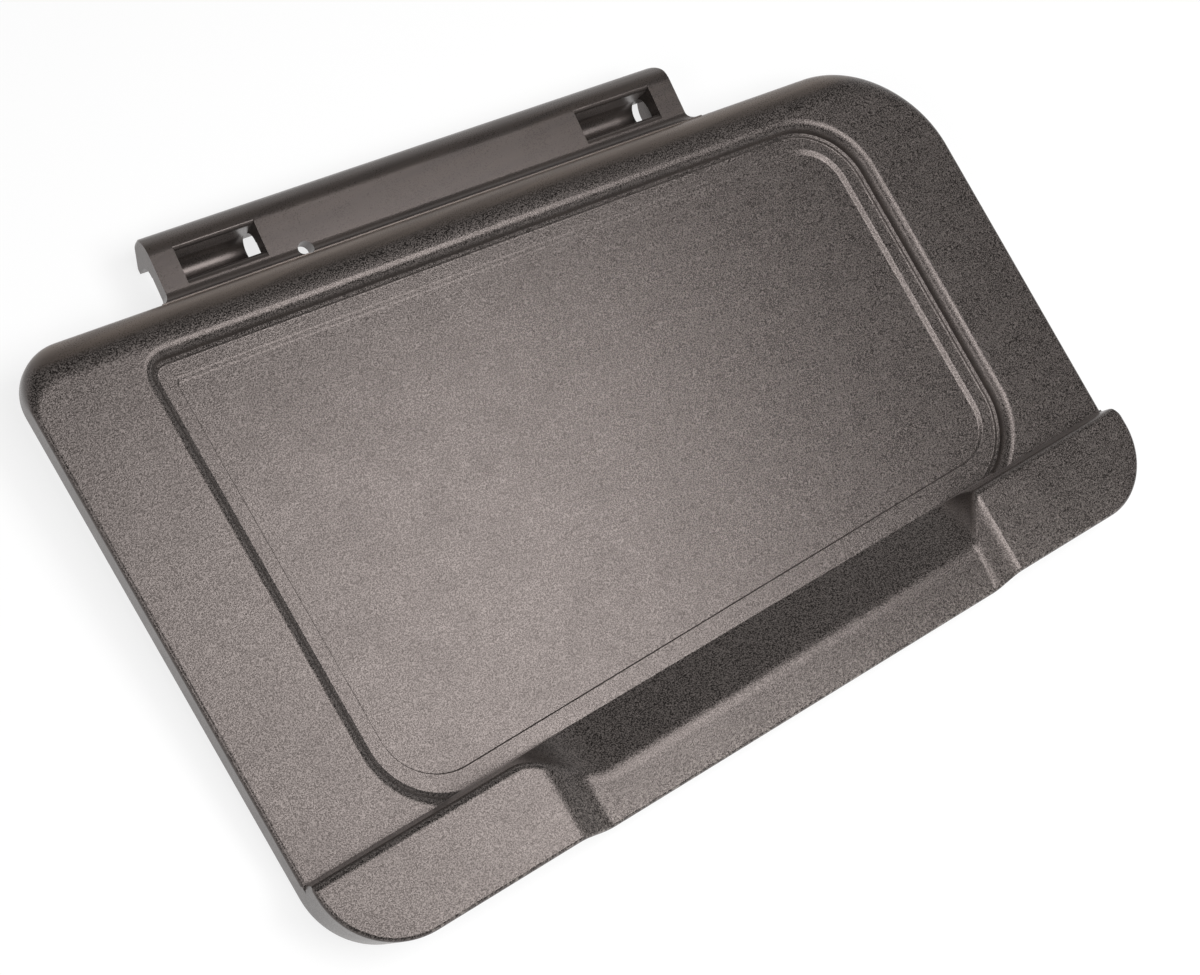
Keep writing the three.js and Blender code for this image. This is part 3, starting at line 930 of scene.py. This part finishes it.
def add_textures(tree):
    """The four noises by name. The streaks are noise in a space squeezed along the hinge."""
    place = add_node(tree, "ShaderNodeTexCoord").outputs["Object"]
    squeeze = add_node(tree, "ShaderNodeMapping")
    squeeze.inputs["Rotation"].default_value = (0, 0, HINGE_SLOPE)
    squeeze.inputs["Scale"].default_value = (STREAK_STRETCH, 1, 1)
    tree.links.new(place, squeeze.inputs["Vector"])
    return {
        "grain": noise(tree, place, GRAIN_SCALE, FINE_DETAIL, GRAIN_ROUGHNESS),
        "pits": noise(tree, place, PIT_SCALE, FINE_DETAIL),
        "mottle": noise(tree, place, MOTTLE_SCALE, MOTTLE_DETAIL),
        "streaks": noise(tree, squeeze.outputs["Vector"], STREAK_SCALE, FINE_DETAIL),
    }


def add_marks(tree):
    """The shares kept on the mesh, by name."""
    marks = {}
    for name in ("blasted", "roll_reflection_paint", "rub_and_highlight"):
        node = add_node(tree, "ShaderNodeAttribute", attribute_name=name)
        marks[name] = node.outputs["Fac"]
    return marks


print("grain:", round(1000 / GRAIN_SCALE, 2), "mm, pits:", round(1000 / PIT_SCALE, 2), "mm")

# %% [markdown]
# ## Its colour
# On the blasted faces the colour itself is speckled, dark in the pits and light on the crests.
# The smooth faces only have streaks. Both are made paler in two places: low on the upper roll by a
# painted reflection, patchy along the streaks, and in dots on the crest of the free edge by rub
# marks and a painted highlight. All colours are darker than the part looks, because much of what
# is seen on dark plastic is gloss.

# %% Colour the plastic
SMOOTH_DARK = (0.025, 0.0213, 0.0195)
SMOOTH_LIGHT = (0.037, 0.0305, 0.0268)
BLAST_DARK = (0.004, 0.0035, 0.0032)
BLAST_LIGHT = (0.085, 0.0748, 0.07)
# Painted reflection low on the upper roll, paler than the plastic.
PAINTED_ROLL_REFLECTION = (0.13, 0.105, 0.087)
# Rub marks and a painted highlight, in dots on the crest of the free edge.
RUB_AND_HIGHLIGHT_COLOUR = (0.30, 0.27, 0.245)
CREST_RANGE = (0.42, 0.62)
STREAK_RANGE = (0.35, 0.65)
# How patchy the painted reflection on the upper roll is, along the streaks.
REFLECTION_PATCH_RANGE = (0.3, 0.7)
REFLECTION_PATCH_LEAST = 0.45
# How sparse the dots of rub marks and painted highlight are.
SCUFF_HIGHLIGHT_RANGE = (0.5, 0.62)


def crest_share(tree, textures):
    """1 on the crests of the grain, and 0 in its pits."""
    return spread(tree, textures["grain"], *CREST_RANGE, 0, 1)


def plastic_colour(tree, marks, textures):
    streaks = spread(tree, textures["streaks"], *STREAK_RANGE, 0, 1)
    smooth = blend(tree, streaks, SMOOTH_DARK, SMOOTH_LIGHT)
    speckled = blend(tree, crest_share(tree, textures), BLAST_DARK, BLAST_LIGHT)
    colour = blend(tree, marks["blasted"], smooth, speckled)
    # Painted reflection low on the upper roll, patchy along the streaks.
    reflection_patches = spread(tree, textures["streaks"], *REFLECTION_PATCH_RANGE, REFLECTION_PATCH_LEAST, 1)
    reflection_painted = math_node(tree, "MULTIPLY", marks["roll_reflection_paint"], reflection_patches)
    colour = blend(tree, reflection_painted, colour, PAINTED_ROLL_REFLECTION)
    # Dots on the crest of the free edge: rub marks and a painted highlight.
    dots = spread(tree, textures["pits"], *SCUFF_HIGHLIGHT_RANGE, 0, 1)
    scuffs_and_highlight = math_node(tree, "MULTIPLY", marks["rub_and_highlight"], dots)
    return blend(tree, scuffs_and_highlight, colour, RUB_AND_HIGHLIGHT_COLOUR)


print("blasted grain: from", BLAST_DARK[0], "to", BLAST_LIGHT[0], "in red")

# %% [markdown]
# ## Its gloss
# The pits of the grain lie in their own shadow, so they mirror half as much as the crests. This
# is what makes the grain sparkle evenly under a broad light, where a change of colour alone would
# hardly show. The smooth faces lie in between. The roughness varies a little too, slowly with the
# mottle and finely with the grain.

# %% Tint and roughen the gloss
GLOSS_TINT = (1, 0.87, 0.83)
PIT_TINT = (0.5, 0.43, 0.405)
SMOOTH_SHINE = 0.75
ROUGHNESS_SMOOTH = 0.31
ROUGHNESS_BLASTED = 0.28
ROUGHNESS_MOTTLE = 0.03
ROUGHNESS_GRAIN = 0.05
MOTTLE_RANGE = (0.3, 0.7)
GRAIN_RANGE = (0.35, 0.65)


def plastic_tint(tree, marks, textures):
    least = spread(tree, marks["blasted"], 0, 1, SMOOTH_SHINE, 0)
    shine = math_node(tree, "MAXIMUM", crest_share(tree, textures), least)
    return blend(tree, shine, PIT_TINT, GLOSS_TINT)


def plastic_roughness(tree, marks, textures):
    base = spread(tree, marks["blasted"], 0, 1, ROUGHNESS_SMOOTH, ROUGHNESS_BLASTED)
    slow = spread(tree, textures["mottle"], *MOTTLE_RANGE, -ROUGHNESS_MOTTLE, ROUGHNESS_MOTTLE)
    fine = spread(tree, textures["grain"], *GRAIN_RANGE, -ROUGHNESS_GRAIN, ROUGHNESS_GRAIN)
    return math_node(tree, "ADD", math_node(tree, "ADD", slow, base), fine)


print("roughness:", ROUGHNESS_SMOOTH, "smooth,", ROUGHNESS_BLASTED, "blasted")

# %% [markdown]
# ## Its relief, and the material
# The grain is far too fine to model, and a tenth of a millimetre of bump is enough to break up
# the edges of reflections. More of it would blur the long highlights along the radii. A thin
# sheen stands for the dust that plastic of this kind always holds.

# %% Put the plastic on the flap
RELIEF = 0.0001
RELIEF_STRENGTH = 0.5
RELIEF_PITS = 0.5
RELIEF_SMOOTH = 0.25
PLASTIC_IOR = 1.7
DUST = 0.1
DUST_ROUGHNESS = 0.3


def plastic_relief(tree, marks, textures):
    pits = math_node(tree, "MULTIPLY", textures["pits"], RELIEF_PITS)
    height = math_node(tree, "ADD", textures["grain"], pits)
    share = spread(tree, marks["blasted"], 0, 1, RELIEF_SMOOTH, 1)
    height = math_node(tree, "MULTIPLY", height, share)
    bump = add_node(tree, "ShaderNodeBump", strength=RELIEF_STRENGTH, distance=RELIEF)
    tree.links.new(height, bump.inputs["Height"])
    return bump.outputs["Normal"]


PLASTIC_FINISH = {
    "Base Color": plastic_colour,
    "Specular Tint": plastic_tint,
    "Roughness": plastic_roughness,
    "Normal": plastic_relief,
}


def make_plastic():
    material = bpy.data.materials.new("plastic")
    material.use_nodes = True
    tree = material.node_tree
    shader = tree.nodes["Principled BSDF"]
    shader.inputs["IOR"].default_value = PLASTIC_IOR
    shader.inputs["Sheen Weight"].default_value = DUST
    shader.inputs["Sheen Roughness"].default_value = DUST_ROUGHNESS
    shader.inputs["Sheen Tint"].default_value = (*GLOSS_TINT, 1)
    marks = add_marks(tree)
    textures = add_textures(tree)
    for socket, finish in PLASTIC_FINISH.items():
        tree.links.new(finish(tree, marks, textures), shader.inputs[socket])
    return material


flap.data.materials.clear()
flap.data.materials.append(make_plastic())
print("plastic:", len(flap.active_material.node_tree.nodes), "nodes")

# %% [markdown]
# ## The sheet
# The part lies on a white sheet. More light would whiten the sheet, but it would bleach the part
# as well. So the sheet glows a little by itself, for the eye and for reflections only: the light
# on the part stays as it is, and the shadow stays on the sheet.

# %% Lay the white sheet
SHEET_HALF = 3
SHEET_LIFT = 0.78
SHEET_COLOUR = (0.88, 0.88, 0.88)


def lift_share(tree):
    """How far the sheet glows: mostly for the eye, fully in reflections, never as a light."""
    rays = add_node(tree, "ShaderNodeLightPath").outputs
    mirrored = math_node(tree, "MAXIMUM", rays["Is Glossy Ray"], rays["Is Transmission Ray"])
    seen = math_node(tree, "MULTIPLY", rays["Is Camera Ray"], SHEET_LIFT)
    return math_node(tree, "MAXIMUM", seen, mirrored)


def make_sheet():
    material = bpy.data.materials.new("sheet")
    material.use_nodes = True
    tree = material.node_tree
    tree.nodes.remove(tree.nodes["Principled BSDF"])
    matt = add_node(tree, "ShaderNodeBsdfDiffuse")
    matt.inputs["Color"].default_value = (*SHEET_COLOUR, 1)
    white = add_node(tree, "ShaderNodeEmission")
    both = add_node(tree, "ShaderNodeMixShader")
    for slot, socket in enumerate((lift_share(tree), matt.outputs[0], white.outputs[0])):
        tree.links.new(socket, both.inputs[slot])
    tree.links.new(both.outputs[0], tree.nodes["Material Output"].inputs["Surface"])
    return material


corners = [(-SHEET_HALF, -SHEET_HALF), (SHEET_HALF, -SHEET_HALF)]
corners += [(SHEET_HALF, SHEET_HALF), (-SHEET_HALF, SHEET_HALF)]
sheet_mesh = bpy.data.meshes.new("sheet")
sheet_mesh.from_pydata(at_height(corners, 0), [], [range(4)])
sheet = bpy.data.objects.new("sheet", sheet_mesh)
bpy.context.collection.objects.link(sheet)
sheet_mesh.materials.append(make_sheet())
print("sheet:", 2 * SHEET_HALF, "m wide")

# %% [markdown]
# ## The lamps
# On the photograph the middle of the face shines and the right side fades slowly into the dark,
# which is the reflection of one broad lamp. A small lamp would draw hard points on every radius
# instead. So a large soft box hangs over the near right side, a weaker one fills the left, and a
# third stands low at the left, where it draws the thin bright lines on the radii.

# %% Hang the soft boxes
BOX_PLACE = Vector((0.23, -0.185, 0.66))
BOX_SIZE = (0.3, 0.57)
BOX_POWER = 4.4
FILL_PLACE = Vector((-0.07, -0.1, 0.66))
FILL_SIZE = (0.3, 0.45)
FILL_POWER = 1.7
SIDE_PLACE = Vector((-0.6, -0.1, 0.5))
SIDE_SIZE = (0.5, 0.3)
SIDE_POWER = 2.0
STRAIGHT_UP = Vector((0, 0, 1))


def hang_box(name, place, size, power, back=STRAIGHT_UP):
    """Hangs a soft box with its back that way, so it faces the ground unless told otherwise."""
    light = bpy.data.lights.new(name, "AREA")
    light.shape = "RECTANGLE"
    light.size, light.size_y = size
    light.energy = power
    box = bpy.data.objects.new(name, light)
    box.location = place
    box.rotation_euler = back.to_track_quat("Z", "Y").to_euler()
    bpy.context.collection.objects.link(box)


hang_box("soft box", BOX_PLACE, BOX_SIZE, BOX_POWER)
hang_box("fill box", FILL_PLACE, FILL_SIZE, FILL_POWER)
hang_box("side box", SIDE_PLACE, SIDE_SIZE, SIDE_POWER, SIDE_PLACE)
print("soft boxes:", len(bpy.data.lights))

# %% [markdown]
# ## The room
# The room gives a little light from all sides. The eye sees it white. Reflections see it white
# only near the horizon, as a sheet that sweeps up at its edges would be, and dark overhead, since
# a white ceiling would wash out the gloss of the lamps.

# %% Light the room
ROOM_LIGHT = 0.1
HAZE_FULL = 0.15
HAZE_NONE = 0.6


def make_room():
    world = bpy.data.worlds.new("room")
    world.use_nodes = True
    tree = world.node_tree
    rays = add_node(tree, "ShaderNodeLightPath").outputs
    direction = add_node(tree, "ShaderNodeSeparateXYZ")
    tree.links.new(add_node(tree, "ShaderNodeTexCoord").outputs["Generated"], direction.inputs[0])
    haze = spread(tree, direction.outputs["Z"], HAZE_FULL, HAZE_NONE, 1, 0)
    mirrored = math_node(tree, "MULTIPLY", haze, rays["Is Glossy Ray"])
    white = math_node(tree, "MAXIMUM", mirrored, rays["Is Camera Ray"])
    background = tree.nodes["Background"]
    background.inputs["Color"].default_value = (1, 1, 1, 1)
    tree.links.new(spread(tree, white, 0, 1, ROOM_LIGHT, 1), background.inputs["Strength"])
    return world


bpy.context.scene.world = make_room()
bpy.context.scene.view_settings.view_transform = "Standard"
print("room light:", ROOM_LIGHT)
